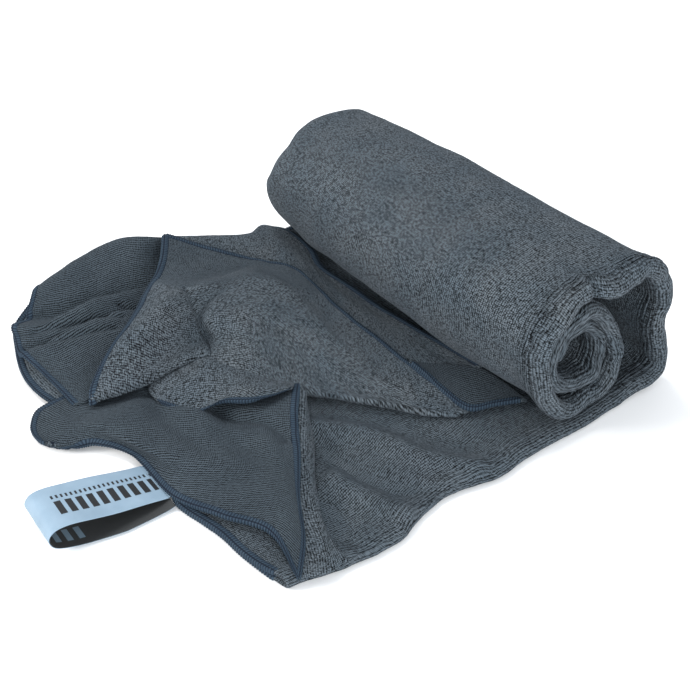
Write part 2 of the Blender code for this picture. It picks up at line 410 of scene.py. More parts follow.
def edge_of(grid, side):
    """The line, the direction into the cloth and the normal along one side of a grid."""
    normal = normals(grid)
    if side.endswith("column"):
        grid = grid.swapaxes(0, 1)
        normal = normal.swapaxes(0, 1)
    if side.startswith("first"):
        return grid[0], grid[1] - grid[0], normal[0]
    return grid[-1], grid[-2] - grid[-1], normal[-1]


def thin(edge, step=3):
    """Every step-th point of an edge and its last one, so that a hem runs smoothly along it."""
    line, into, normal = edge
    kept = list(range(0, len(line) - 1, step)) + [len(line) - 1]
    return line[kept], into[kept], normal[kept]


# Materials


class Nodes:
    """Short ways to add and link the nodes of one material."""

    def __init__(self, name):
        self.material = bpy.data.materials.new(name)
        self.material.use_nodes = True
        self.tree = self.material.node_tree
        self.shader = self.tree.nodes["Principled BSDF"]

    def put(self, socket, value):
        """Links value to a socket if it is a socket too, and sets it if it isn't."""
        if isinstance(value, bpy.types.NodeSocket):
            self.tree.links.new(value, socket)
        else:
            socket.default_value = value

    def add(self, kind, inputs=(), **settings):
        """A new node of that kind, with its inputs and its own settings."""
        node = self.tree.nodes.new(kind)
        for key, value in settings.items():
            setattr(node, key, value)
        for key, value in dict(inputs).items():
            self.put(node.inputs[key], value)
        return node

    def math(self, operation, *values):
        """The result of a maths operation on values or sockets."""
        node = self.add("ShaderNodeMath", operation=operation)
        for socket, value in zip(node.inputs, values):
            self.put(socket, value)
        return node.outputs[0]

    def mix(self, factor, a, b):
        """Colour a where factor is 0 and b where it is 1."""
        node = self.add("ShaderNodeMix", data_type="RGBA")
        self.put(node.inputs["Factor"], factor)
        self.put(node.inputs["A"], a)
        self.put(node.inputs["B"], b)
        return node.outputs["Result"]

    def ramp(self, value, low, high, out_low=0.0, out_high=1.0):
        """value spread from low..high to out_low..out_high, and held at the ends."""
        node = self.add("ShaderNodeMapRange", {"From Min": low, "From Max": high})
        self.put(node.inputs["Value"], value)
        self.put(node.inputs["To Min"], out_low)
        self.put(node.inputs["To Max"], out_high)
        return node.outputs["Result"]

    def attribute(self, name):
        """The node that reads an attribute of the mesh."""
        return self.add("ShaderNodeAttribute", attribute_name=name)

    def noise(self, vector, scale, detail=2.0):
        """Soft random values over vector."""
        node = self.add("ShaderNodeTexNoise", {"Scale": scale, "Detail": detail})
        self.put(node.inputs["Vector"], vector)
        return node.outputs["Fac"]

    def scaled(self, vector, scale):
        """vector times scale, part by part."""
        node = self.add("ShaderNodeVectorMath", operation="MULTIPLY")
        self.put(node.inputs[0], vector)
        node.inputs[1].default_value = scale
        return node.outputs[0]

    def bump(self, height, distance, strength):
        """Gives the shader a bump of that height."""
        node = self.add("ShaderNodeBump", {"Distance": distance, "Strength": strength})
        self.put(node.inputs["Height"], height)
        self.put(self.shader.inputs["Normal"], node.outputs["Normal"])

    def set(self, **values):
        """Sets inputs of the shader."""
        for key, value in values.items():
            self.shader.inputs[key.replace("_", " ")].default_value = value


def cloth_material():
    """Microfibre cloth: looped terry where pile is 1, and flat ribbed knit where it is 0."""
    n = Nodes("microfibre_cloth")
    weave = n.attribute("weave").outputs["Vector"]
    pile = n.attribute("pile").outputs["Fac"]

    drift = n.add("ShaderNodeTexNoise", {"Scale": 190.0, "Detail": 1.0})
    n.put(drift.inputs["Vector"], weave)
    shift = n.add("ShaderNodeVectorMath", operation="MULTIPLY_ADD")
    n.put(shift.inputs[0], drift.outputs["Color"])
    shift.inputs[1].default_value = (0.0014, 0.0014, 0.0)
    n.put(shift.inputs[2], weave)
    cells = n.add("ShaderNodeTexVoronoi", {"Scale": 1.0, "Randomness": 0.6}, feature="F1")
    n.put(cells.inputs["Vector"], n.scaled(shift.outputs[0], (1 / WALE_PITCH, 1 / ROW_PITCH, 300.0)))
    loops = n.ramp(cells.outputs["Distance"], 0.1, 0.8, 1.0, 0.0)
    fibre = n.noise(weave, 1600.0, 2.0)
    parts = n.add("ShaderNodeSeparateXYZ")
    n.put(parts.inputs[0], shift.outputs[0])
    rows = n.math("COSINE", n.math("MULTIPLY", parts.outputs["Y"], 2 * math.pi / ROW_PITCH))
    wales = n.math("COSINE", n.math("MULTIPLY", parts.outputs["X"], 2 * math.pi / WALE_PITCH))

    terry = n.math("MULTIPLY_ADD", wales, -0.07, n.math("MULTIPLY", loops, 0.55))
    terry = n.math("MULTIPLY_ADD", fibre, 0.45, n.math("MULTIPLY_ADD", rows, -0.10, terry))
    knit = n.math("MULTIPLY_ADD", rows, -0.24, n.math("MULTIPLY_ADD", wales, -0.14, 0.22))
    knit = n.math("MULTIPLY_ADD", fibre, 0.35, n.math("MULTIPLY_ADD", loops, 0.30, knit))
    height = n.math(
        "ADD",
        n.math("MULTIPLY", terry, pile),
        n.math("MULTIPLY", knit, n.math("SUBTRACT", 1.0, pile)),
    )

    patch = n.noise(weave, 34.0, 3.0)
    faded = n.ramp(patch, 0.35, 0.68)
    terry_colour = n.mix(faded, (0.038, 0.048, 0.057, 1), (0.049, 0.0575, 0.065, 1))
    knit_colour = n.mix(faded, (0.021, 0.0275, 0.0335, 1), (0.026, 0.0335, 0.040, 1))
    colour = n.mix(pile, knit_colour, terry_colour)
    # Painted shade and painted highlight: the colour is darkened in the hollows between loops and lightened
    # on their tops
    shade = n.ramp(height, 0.24, 0.71, 0.04, 2.28)
    colour_with_painted_shade = n.add("ShaderNodeVectorMath", operation="SCALE")
    n.put(colour_with_painted_shade.inputs[0], colour)
    n.put(colour_with_painted_shade.inputs["Scale"], shade)
    n.put(n.shader.inputs["Base Color"], colour_with_painted_shade.outputs[0])
    n.set(Roughness=0.95, Sheen_Weight=0.05, Sheen_Roughness=0.45)
    n.set(Sheen_Tint=(0.75, 0.85, 1.0, 1.0), Specular_IOR_Level=0.1)
    n.bump(height, 0.0006, 0.85)
    return n.material


def hem_material():
    """Navy overlock thread: bright turns across the edge, dark between them, and a dark cord along it."""
    n = Nodes("overlock_thread")
    weave = n.attribute("weave").outputs["Vector"]
    thread = n.attribute("pile").outputs["Fac"]
    parts = n.add("ShaderNodeSeparateXYZ")
    n.put(parts.inputs[0], weave)
    along = n.math("MULTIPLY", parts.outputs["X"], 9000.0)
    twist = n.math("MULTIPLY_ADD", parts.outputs["Y"], 900.0, along)
    strand = n.math("SINE", twist)
    fuzz = n.noise(weave, 1500.0, 2.0)
    height = n.math("MULTIPLY_ADD", strand, 0.10, n.math("MULTIPLY_ADD", fuzz, 0.5, thread))
    wear = n.noise(weave, 60.0, 2.0)
    bright = n.mix(n.ramp(wear, 0.35, 0.65), (0.024, 0.040, 0.060, 1), (0.033, 0.053, 0.075, 1))
    # Painted shade: the colour is darker in the hollows between the turns of thread
    colour = n.mix(n.ramp(height, 0.25, 1.15), (0.009, 0.015, 0.025, 1), bright)
    away = n.math("ABSOLUTE", n.math("ADD", parts.outputs["Y"], 0.0003))
    colour = n.mix(n.ramp(away, 0.0002, 0.0005), (0.006, 0.010, 0.018, 1), colour)
    colour = n.mix(n.ramp(parts.outputs["Y"], 0.0020, 0.0027), colour, (0.006, 0.010, 0.018, 1))
    n.put(n.shader.inputs["Base Color"], colour)
    n.set(Roughness=0.85, Specular_IOR_Level=0.15)
    n.bump(height, 0.0004, 0.7)
    return n.material


def ribbon_material():
    """Satin ribbon: pale blue with plain printed bars outside, and charcoal inside."""
    n = Nodes("satin_ribbon")
    weave = n.attribute("weave").outputs["Vector"]
    inside = n.attribute("pile").outputs["Fac"]
    parts = n.add("ShaderNodeSeparateXYZ")
    n.put(parts.inputs[0], weave)
    across, along = parts.outputs["X"], parts.outputs["Y"]
    warp = n.math("SINE", n.math("MULTIPLY", across, 2 * math.pi / 0.00045))
    weft = n.math("SINE", n.math("MULTIPLY", along, 2 * math.pi / 0.00060))
    threads = n.math("MULTIPLY_ADD", warp, 0.3, n.math("MULTIPLY", weft, 0.3))

    def band(value, low, high):
        """1 where value is between low and high, and 0 elsewhere."""
        above = n.math("GREATER_THAN", value, low)
        return n.math("MULTIPLY", above, n.math("LESS_THAN", value, high))

    def dashes(pitch, share):
        """1 over that share of each length of pitch along the ribbon, and 0 over the rest."""
        return n.math("LESS_THAN", n.math("FRACT", n.math("DIVIDE", along, pitch)), share)

    wide_row = n.math("MULTIPLY", band(across, 0.0115, 0.0215), dashes(0.0058, 0.62))
    thin_row = n.math("MULTIPLY", band(across, 0.0070, 0.0095), dashes(0.0026, 0.45))
    printed = n.math("MAXIMUM", wide_row, thin_row)
    printed = n.math("MULTIPLY", printed, band(along, 0.001, 0.056))
    cloudy = n.noise(weave, 90.0, 2.0)
    pale = n.mix(n.ramp(cloudy, 0.3, 0.7), (0.19, 0.27, 0.345, 1), (0.225, 0.31, 0.39, 1))
    face = n.mix(printed, pale, (0.004, 0.005, 0.007, 1))
    shown = n.math("MULTIPLY", band(across, 0.0160, 0.0250), dashes(0.0060, 0.5))
    shown = n.math("MULTIPLY", shown, band(along, 0.070, 0.094))
    lining = n.mix(shown, (0.022, 0.024, 0.025, 1), (0.120, 0.180, 0.230, 1))
    colour = n.mix(inside, face, lining)
    n.put(n.shader.inputs["Base Color"], colour)
    n.set(Roughness=0.5, Sheen_Weight=0.05, Specular_IOR_Level=0.25)
    n.bump(threads, 0.0001, 0.5)
    return n.material


# The roll and the laid layer under it

# Middle of the folded towel in side view, from its front edge round to the core: (y, z)
BODY_LINE = [
    (-148, 3.2), (-120, 3.2), (-90, 3.2), (-60, 3.2), (-30, 3.2), (0, 3.2), (30, 3.2), (57, 3.2),
    (79.5, 3.3), (98, 4.2), (114, 6.5), (125, 12.5), (124.5, 23), (118.5, 38), (117, 50), (119.5, 59),
    (115, 71), (108, 82), (97, 88), (82, 90), (64, 89.5), (46, 84.5), (34, 74), (30, 59), (32, 42),
    (40, 25), (52, 13.5), (66, 12), (79, 12.5),
    (88, 16), (92, 25), (91, 35), (87, 47), (81, 58), (73, 67), (63, 72.5), (52, 70), (44, 62), (40, 51),
    (41, 40), (47, 31), (57, 25), (68, 22.5), (78, 25), (83, 33), (82, 44), (77, 52), (69, 57),
    (60, 55.5), (54, 50), (51, 43),
]
# The folded edge and the hemmed edge across from it, by distance along the line: (distance, x)
NEAR_EDGE = [
    (0, 137), (11, 138), (24, 141), (40, 143), (56, 145), (75, 145), (89, 140), (103, 136), (114, 135),
    (125, 137), (140, 141), (151, 141), (163, 139), (185, 139), (208, 140), (226, 139), (262, 138),
    (300, 135.5), (330, 135), (365, 136), (400, 136), (430, 135), (470, 136), (505, 135), (560, 131),
    (600, 130), (640, 131), (680, 130), (720, 127), (760, 124), (800, 124), (840, 122), (900, 121),
]
FAR_EDGE = [
    (0, -118), (20, -122), (60, -124), (105, -123), (150, -121), (200, -120), (240, -121), (300, -123),
    (360, -123), (390, -122), (404, -118), (416, -111), (430, -111), (441, -113), (452, -118), (465, -120),
    (478, -121), (490, -125), (505, -127), (549, -124), (629, -121), (700, -116), (800, -118), (900, -118),
]
# How far the front edge stands forward of the line's start, by x: (x, y)
FRONT_EDGE = [
    (-130, 8), (-105, 4), (-88, 2), (-70, 2), (-55, 4), (-30, 6), (0, 9), (32, 9), (42, 5), (50, -1),
    (60, -2), (74, 1), (89, 4), (105, 5), (119, 7), (133, 10), (145, 13),
]
# Half of the folded lip in cross-section: (distance in from the edge, height off the middle)
LIP = [(0.2, 0.0), (0.6, 1.9), (2.0, 3.5), (4.2, 4.3), (7.0, 4.0), (10.5, 3.2), (15.0, 2.2), (21.0, 1.5)]
# Soft folds over the top of the laid layer. A crease is (its path as (x, y), depth, width).
LAID_FOLDS = [
    ([(48, -50), (75, -28), (96, -15), (114, -2)], 2.0, 8.0),
    ([(54, -61), (67, -50), (78, -41), (106, -31), (119, -23), (132, -14)], -4.6, 7.0),
    ([(68, -67), (93, -65), (116, -55), (132, -41)], 3.0, 7.0),
    ([(94, -78), (107, -75), (126, -69), (139, -64)], -4.8, 7.0),
    ([(107, -93), (128, -97), (145, -93)], 2.6, 7.0),
]
LAID_LENGTH = 227.0  # from the front edge to where the towel starts to roll up
INNER_LENGTH = 520.0  # and to where its inner turns start
FOLDED_WIDTH = 245.0
LIP_RIB_PITCH = 2.7
FAR_SLUMP = 13.5  # how far the roll leans over the loose plies at its far end
MIDDLE_SAG = 7.0  # and how much further it does so in its middle
ROLL_TAPER = 0.125  # how much smaller the roll is at its far end
ROLL_FOOT_Y = 80.0  # where the roll rests on the floor


def lookup(table, at):
    """Values from a table of (place, value), smoothly between its entries."""
    table = np.array(table, float)
    place = np.interp(at, table[:, 0], np.arange(len(table)))
    return catmull(table[:, 1], place)


def across_the_ply():
    """Over the ply's width, round its fold: depth in the lip, share of the flat part, and height."""
    line = np.array(LIP, float)
    lip = catmull(line, even_places(line, FINE_SPACING))
    flat = np.linspace(0, 1, int(FOLDED_WIDTH / BODY_SPACING))[1:]
    depth = np.concatenate([lip[:, 0], np.full(len(flat), lip[-1, 0])])
    share = np.concatenate([np.zeros(len(lip)), flat])
    height = np.concatenate([lip[:, 1], np.full(len(flat), lip[-1, 1])])
    return (
        np.concatenate([depth[::-1], depth[1:]]),
        np.concatenate([share[::-1], share[1:]]),
        np.concatenate([height[::-1], -height[1:]]),
    )


def height_off_middle(places, depth, height, from_far, rolled, inner):
    """How far the ply stands off the middle of the folded towel, with its swells, ribs and soft folds."""
    swell = 1.5 * ripple(places, 46.0, 1) + 0.7 * ripple(places, 19.0, 2)
    along_roll = ripple(places * np.array([0.22, 1.0]), 17.0, 4)
    swell = swell + 1.2 * along_roll * np.clip(1.2 - depth / 300.0, 0, 1)
    swell = swell * (0.35 + 0.65 * rolled) * (1 - 0.5 * inner)
    plump = np.clip(1 - depth / 20.0, 0, 1)
    off = height * (1 - plump * (0.30 * (1 - rolled) + 0.28 * inner)) + swell * rolled

    side = np.sign(height)
    ribs = np.cos(2 * math.pi * depth / LIP_RIB_PITCH + 1.8 * ripple(places, 16.0, 6))
    ribs = ribs * np.exp(-(((depth - 8.0) / 8.0) ** 2))
    off = off + (0.22 + 0.4 * rolled) * side * ribs
    far_curl = 4.5 * rolled * (1 - inner) * np.clip(1 - from_far / 8.0, 0, 1) ** 2
    off = off - far_curl

    laid_top = np.clip(-side, 0, 1) * (1 - rolled)
    folds = ripple(places * np.array([0.45, 1.0]), 30.0, 7)
    return off + laid_top * (0.9 + 1.5 * folds + 0.5 * ripple(places, 15.0, 11))


def above_floor(z):
    """Heights kept above the floor, where the cloth rests on it, without a sharp bend."""
    floor = PLY / 2 + 0.15
    return np.where(z < floor + 1.0, floor + np.exp(np.minimum(z - floor - 1.0, 0.0)), z)


def slumped(x, y, z, rolled, inner):
    """The roll made smaller towards its far end, and leaning over the loose plies."""
    taper = 1 - ROLL_TAPER * rolled * np.clip((80 - x) / 205.0, 0, 1) ** 1.3
    y = ROLL_FOOT_Y + (y - ROLL_FOOT_Y) * taper
    sag = np.sin(math.pi * np.clip((137 - x) / 250.0, 0, 1))
    slump = FAR_SLUMP * np.clip((110 - x) / 230.0, 0, 1) + MIDDLE_SAG * sag
    slump = slump * np.clip((100 - y) / 70.0, 0, 1)
    return y - slump * rolled * (1 - inner), z * taper


def body_grid():
    """The middle of the one ply that makes the folded towel, and how far along it each row is."""
    line = np.array(BODY_LINE, float)
    middle = catmull(line, even_places(line, BODY_SPACING))
    run = lengths_along(middle)
    tangent = unit(np.gradient(middle, axis=0))
    out = np.stack([tangent[:, 1], -tangent[:, 0]], axis=-1)

    near = lookup(NEAR_EDGE, run)
    far = lookup(FAR_EDGE, run)
    lip_depth, share, height = across_the_ply()
    width = (near - far - LIP[-1][0])[:, None]
    x = near[:, None] - lip_depth - share * width
    depth = near[:, None] - x
    from_far = width + LIP[-1][0] - depth
    places = np.stack([x, np.broadcast_to(run[:, None], x.shape)], axis=-1)
    rolled = np.clip((run - LAID_LENGTH) / 30.0, 0, 1)[:, None]
    inner = np.clip((run - INNER_LENGTH) / 40.0, 0, 1)[:, None]
    off = height_off_middle(places, depth, height[None, :], from_far, rolled, inner)

    front = lookup(FRONT_EDGE, x) * np.clip(1 - run / 60.0, 0, 1)[:, None] ** 1.5
    y = middle[:, :1] + out[:, :1] * off + front
    z = above_floor(middle[:, 1:] + out[:, 1:] * off)
    y, z = slumped(x, y, z, rolled, inner)
    wave = (1.8 * ripple(places, 26.0, 12) + 1.2 * ripple(places, 8.0, 13)) * np.exp(-depth / 22.0)
    wave = wave * (0.35 + 0.9 * rolled)
    return np.stack([x + wave, y, z], axis=-1), run


def lip_notch(grid, run):
    """The lip of the outer turn droops beyond a notch near the top of the roll's open end."""
    x, y, z = grid[..., 0], grid[..., 1], grid[..., 2]
    outer = ((run > 300) & (run < INNER_LENGTH))[:, None]
    near = np.clip((x - 108) / 28.0, 0, 1) ** 1.5
    droop = np.where(y > 64, np.exp(-(((y - 76) / 13.0) ** 2)), np.exp(-(((y - 64) / 2.5) ** 2)) * 0.4)
    notch = np.exp(-(((y - 62) / 3.6) ** 2))
    upper = z > 60
    drop = np.where(outer & upper, near * (4.5 * droop + 1.5 * notch), 0.0)
    lowered = grid.copy()
    lowered[..., 2] -= drop
    lowered[..., 0] -= np.where(outer & upper, near * 7.0 * notch, 0.0)
    return lowered


def make_body():
    """The folded and rolled towel, and its grid."""
    grid, run = body_grid()
    grid = lip_notch(grid, run)
    top_start = grid.shape[1] // 2 + 4
    laid = run < LAID_LENGTH
    grid[laid, top_start:] = creased(grid[laid, top_start:], LAID_FOLDS)
    # Less pile on the laid layer than on the roll draws the same cloth darker and flatter there: the
    # darkening is painted shade
    pile_and_painted_shade = 0.65 + 0.35 * np.clip((run - LAID_LENGTH) / 40.0, 0, 1)[:, None]
    return cloth("towel_folded_and_rolled", grid, pile_and_painted_shade, pile_and_painted_shade, lump=0.06, turned=True), grid


# The loose plies, each as rows of points: (x, y, z)

UPPER_PLY = [
    [(-123, -49, 33), (-115, -36, 27), (-105, -24, 22), (-94, -12, 18), (-83, -3, 16.5),
     (-63, 10, 15), (-10, 8, 12), (19, 10, 11), (49, 10, 10.5), (75, 11, 9.5), (97, 12, 9)],
    [(-105, -61, 32), (-99, -45, 25), (-93, -30, 20.5), (-85, -15, 18), (-74, -5, 17.5), (-49, 2, 17),
     (-3, -3, 14.5), (27, -1, 12.5), (56, 0, 11), (80, 3, 9.8), (97, 10, 9)],
    [(-91, -73, 31), (-81, -59, 28), (-75, -49, 26), (-73, -38, 25), (-70, -19, 23.5), (-42, -7, 20),
     (4, -11, 16), (34, -8, 13), (59, -4, 10.8), (82, 0, 9.6), (97, 9, 9)],
    [(-84, -82, 30), (-66, -77, 36), (-62, -66, 35), (-58, -52, 33), (-57, -30, 29), (-33, -16, 23.5),
     (10, -18, 17.5), (38, -15, 13.5), (64, -10, 10.8), (83, -3, 9.5), (97, 9, 9)],
    [(-62, -105, 32), (-55, -92, 37), (-50, -82, 31), (-47, -72, 24.5), (-41, -65, 30), (-28, -46, 27),
     (3, -35, 18.5), (34, -28, 14), (59, -18, 10.5), (81, -6, 9.3), (97, 8, 8.8)],
    [(-46, -131, 28), (-44, -113, 32), (-38, -96, 24), (-37, -74, 17), (-25, -70, 22.5), (-7, -59, 21.5),
     (17, -46, 14.5), (41, -35, 11.5), (64, -21, 9.8), (83, -8, 9), (96, 7, 8.6)],
    [(-35, -148, 20), (-30, -136, 22), (-27, -116, 20), (-27, -81, 18), (-12, -76, 20), (8, -67, 17.5),
     (29, -54, 13.5), (49, -37, 11.5), (67, -21, 10.4), (84, -8, 9.6), (96, 6, 9.2)],
    [(-29, -153, 14), (-24, -143, 17), (-23, -123, 17), (-23, -83, 16.5), (-9, -78, 17.5), (13, -69, 15),
     (32, -53, 11.5), (49, -37, 9.8), (67, -22, 9.2), (84, -9, 9), (96, 4, 8.8)],
    [(-35, -150, 10), (-33, -140, 11), (-31, -120, 11), (-30, -78, 11), (-12, -73, 11.8),
     (11.5, -67.5, 12.2), (31.3, -52.3, 9.7), (48.4, -36.3, 8.4), (66.5, -21.4, 8.0), (83.6, -8.5, 7.9),
     (95.8, 4.3, 8.0)],
]
LEFT_FLAP = [
    [(-150, -122, 6), (-151, -103, 6), (-147, -82, 6), (-142, -63, 6), (-138, -46, 7), (-138, -28, 7)],
    [(-137, -132, 20), (-139, -114, 24), (-141, -94, 28), (-138, -73, 31), (-128, -56, 31),
     (-128, -32, 20)],
    [(-126, -143, 15), (-122, -124, 20), (-120, -104, 23), (-119, -84, 25.5), (-117, -65, 25),
     (-113, -45, 17)],
    [(-121, -147, 11.5), (-111, -131, 13), (-107, -113, 15), (-104, -95, 17), (-100, -77, 17),
     (-96, -60, 15)],
    [(-115, -158, 16.5), (-104, -147.5, 17.5), (-102, -129.5, 20.5), (-101, -109, 23), (-97, -93, 23),
     (-97, -76, 20)],
    [(-108, -160, 13.5), (-97, -149, 15.5), (-95, -129, 17.5), (-94, -111, 20), (-89, -94, 20.5),
     (-88, -78, 18)],
    [(-99, -163, 10), (-91, -150, 12.5), (-90, -129, 14.5), (-89, -113, 16), (-83, -97, 17),
     (-79, -85, 16)],
    [(-91, -164, 14), (-87, -151, 17.5), (-87, -131, 19.5), (-86, -114, 20.5), (-81, -98, 20.5),
     (-78, -87, 18)],
    [(-79, -162, 12), (-71, -151, 13.5), (-69, -134, 15.5), (-68, -120, 16.5), (-66, -106, 17),
     (-66, -97, 16)],
    [(-61, -160, 10), (-55, -152, 11), (-56, -138, 12), (-58, -127, 13), (-62, -118, 13.5),
     (-64, -111, 12)],
    [(-38, -159, 9), (-36, -154, 10), (-37, -148, 10.5), (-39, -144, 10.5), (-42, -140, 10.5),
     (-44, -135, 10)],
]
POCKET_PLY = [
    [(-135, -136, 14), (-125, -153, 8), (-108, -161, 5.5), (-88, -167, 3.6), (-70, -168, 3),
     (-52, -165, 3)],
    [(-121, -136, 9), (-113, -146, 7.5), (-99, -151, 7), (-83, -153, 7), (-66, -153, 7), (-50, -152, 7)],
    [(-100, -126, 8), (-96, -132, 8), (-88, -138, 8), (-76, -140, 8), (-62, -140, 8), (-48, -140, 8)],
]
FRONT_CORNER = [
    [(-51, -158, 6), (-44, -146, 7.5), (-41, -120, 8.5), (-43, -89, 8.5), (-40, -72, 8.5),
     (-19, -66, 8.5), (4, -62, 9), (25, -52, 12)],
    [(-51, -163, 5.5), (-35, -153, 8), (-26, -130, 10), (-24, -104, 9), (-18, -88, 9), (-2, -81, 8.8),
     (18, -72, 11), (34, -59, 15)],
    [(-52, -168, 4.5), (-29, -161, 8), (-12, -139, 14), (-5, -123, 12), (8, -110, 12), (20, -100, 8.8),
     (35, -84, 13), (49, -71, 15)],
    [(-51, -177, 3), (-28, -169, 7), (-6, -153, 14.5), (10, -137, 14), (28, -122, 14), (45, -105, 8.8),
     (60, -93, 13), (72.5, -86, 14)],
    [(-40, -185, 3), (-24, -175, 5), (-7, -157, 11.5), (20, -147, 13), (46, -134, 14), (70, -108, 9),
     (85, -102, 12), (98, -103.5, 12.5)],
    [(-30, -186, 3), (-19, -179, 3.6), (-8, -159, 8), (17, -147.5, 8.5), (50, -143.5, 9.5), (77, -127, 9.5),
     (99, -115, 10.5), (122, -117.5, 10)],
    [(-25, -184, 3), (-14, -175, 3), (-7, -163, 5), (14, -151.2, 4.9), (52, -150.3, 4.9), (82, -140, 8.5),
     (107, -127, 9), (139.5, -133, 7.4)],
]
SMALL_FLAP = [
    [(-29, -116, 11.2), (-34, -95, 11.5), (-35, -73, 12), (-13, -66, 12.5), (8, -61, 13), (26, -56, 15)],
    [(-23, -120, 13), (-18, -104, 16), (-12, -88, 18.5), (5, -78, 19), (22, -70, 18.5), (30, -60, 17.5)],
    [(-18, -122, 12), (-7, -113, 13), (8, -104, 17), (18, -87, 20.5), (28, -75, 20.5), (31, -61, 18)],
    [(-10, -122, 11), (1, -118, 11.5), (11, -113, 12), (17, -97, 17), (29, -84, 19.5), (31, -63, 18)],
]
ROLL_STRIP = [
    [(-151, -24, 6), (-143, -13, 6), (-130, -1, 6), (-123, 13, 6), (-127, 29, 6), (-113, 37, 8),
     (-83, 35, 9.5), (-64, 29, 9.5), (-37, 30, 9.5), (13, 34, 9.5), (73, 43, 9.5)],
    [(-149, -31, 11), (-137, -20, 13), (-124, -4, 14), (-117, 11, 13.5), (-122, 25, 11.5), (-108, 30, 10.5),
     (-81, 30, 10), (-62, 25, 9.8), (-35, 26, 9.8), (15, 30, 9.8), (73, 41, 9.5)],
    [(-147, -35, 10), (-129, -21, 13), (-111, -6, 14), (-98, 7, 13), (-93, 16, 12.5), (-76, 19, 12),
     (-55, 19, 11), (-35, 18, 10.5), (-9, 20, 9.8), (34, 24, 9.2), (73, 40, 9)],
    [(-136, -38, 9), (-116, -23, 11), (-95, -10, 11), (-82, 0, 10.5), (-71, 5, 10), (-54, 5, 10),
     (-33, 4, 9.5), (-11, 4, 9.2), (17, 5, 9), (51, 15, 8.6), (72, 39, 8.6)],
]
LEAF = [
    [(46, 13, 9.5), (55, 22, 9.5), (64, 32, 9.5), (73, 41, 9.3), (91, 43, 9.3), (110, 43, 9)],
    [(47, 12, 11), (58, 16, 10), (71, 20, 9.5), (85, 26, 9.5), (98, 34, 9.5), (109, 41, 9.3)],
    [(48, 11, 12.2), (62, 11, 11.6), (76, 10, 11.2), (97, 12, 10.6), (103, 27, 10), (109, 41, 9.6)],
]
TERRY_STRIP = [
    [(22, -62, 10), (42, -75, 10), (62, -92, 9.5), (82, -104, 8.5), (102, -115, 8), (123, -122, 7.2),
     (138, -129, 6.2)],
    [(31, -57, 14), (48, -69, 13), (69, -86, 12), (89, -99, 10.5), (108, -110, 9.2), (129, -118, 7.4),
     (141, -125, 6.2)],
    [(34, -54, 13.8), (52, -67, 13), (72, -81, 12), (93, -94, 10.5), (112, -104, 9.0), (130, -110, 7.2),
     (143, -116, 6.2)],
    [(30, -52, 10.5), (48, -62, 10), (66, -72, 9.6), (89, -88, 9), (109, -99, 8.2), (124, -105, 7),
     (142, -109, 5.8)],
    [(30, -54, 7), (47, -64, 6.6), (65, -74, 6.2), (87, -90, 6), (107, -101, 5.8), (123, -106, 5.6),
     (142, -106, 5.0)],
]


# Where the upper ply turns over, with its knit side beyond it and its terry side in front: (x, y)
CREST_LINE = [
    (-150, -100), (-84, -79), (-66, -74), (-62, -62), (-58, -49), (-57, -28), (-44, -8), (-25, 20),
]
KNIT_SHOWING = 0.3  # how much pile the upper ply has beyond that line
# Creases in three of the loose plies, in the form of those in the laid layer
UPPER_CREASES = [
    ([(-63, -71), (-55, -72), (-43, -74), (-33, -75), (-23, -79)], 3.2, 1.8),
]
FLAP_CREASES = [
    ([(-91, -100), (-87, -97), (-81, -94), (-76, -92)], 3.0, 1.7),
    ([(-80, -104), (-91, -118), (-97, -137), (-102, -151)], 2.4, 2.0),
    ([(-75, -112), (-80, -124), (-83, -137), (-88, -151)], 2.4, 2.0),
]
CORNER_CREASES = [
    ([(-19, -122), (8, -127), (40, -123)], 2.5, 6.0),
    ([(10, -100), (24, -96), (33, -90), (42, -85), (52, -84), (60, -85)], 3.4, 4.0),
    ([(12, -112), (30, -106), (46, -98), (60, -96), (72, -98)], -2.4, 5.0),
]


def rumpled(rows, depth, seed):
    """A loose ply through rows of points, with small random rumples of that depth."""
    grid = smooth_sheet(rows, LOOSE_SPACING)
    places = cloth_places(grid)
    bumps = depth * (ripple(places, 21.0, seed) + 0.5 * ripple(places, 9.0, seed + 1))
    return grid + bumps[..., None] * normals(grid)


def in_front_of(grid, line, blend=1.2):
    """1 in front of a line over the grid, seen from above, and 0 beyond it."""
    line = np.array(line, float)
    path = catmull(line, even_places(line, 1.0))
    edge = np.interp(grid[..., 0], path[:, 0], path[:, 1])
    return np.clip((edge - grid[..., 1]) / blend + 0.5, 0, 1)


def hem_on(name, grid, side):
    """A hem along one side of a ply."""
    return hem(name, *thin(edge_of(grid, side)))


def front_hems(grid):
    """The hems of the two layers along the front edge, clear of the folded lip between them."""
    edge = edge_of(grid, "first_row")
    half = grid.shape[1] // 2
    upper = tuple(part[half + 12 :] for part in edge)
    lower = tuple(part[: half - 12] for part in edge)
    return [hem("overlock_front_upper", *thin(upper)), hem("overlock_front_lower", *thin(lower))]


# The ribbon loop

LOOP_HINGE = (36.0, -152.5, 2.6)
RIBBON_WIDTH = 29.4
# Side view of the loop from under the hem, out, round and back: (distance from the hinge, height)
LOOP_LINE = [
    (0.0, 3.1), (3.1, 3.8), (12, 6.0), (26, 9.3), (42, 13.0), (54, 15.4), (61.5, 14.6), (65.0, 10.0),
    (62.5, 4.4), (53, 1.8), (38, 1.1), (20, 1.1), (5.2, 1.4), (0.0, 2.2),
]
# The ribbon's end under the hem, as rows of points: (x, y, z)
RIBBON_TAIL = [
    [(21.8, -141.0, 3.2), (36, -141.0, 3.3), (50.2, -141.0, 3.2)],
    [(21.8, -149.0, 3.1), (36, -149.0, 3.2), (50.2, -149.0, 3.1)],
    [(21.8, -152.2, 3.0), (36, -152.2, 3.1), (50.2, -152.2, 3.0)],
]


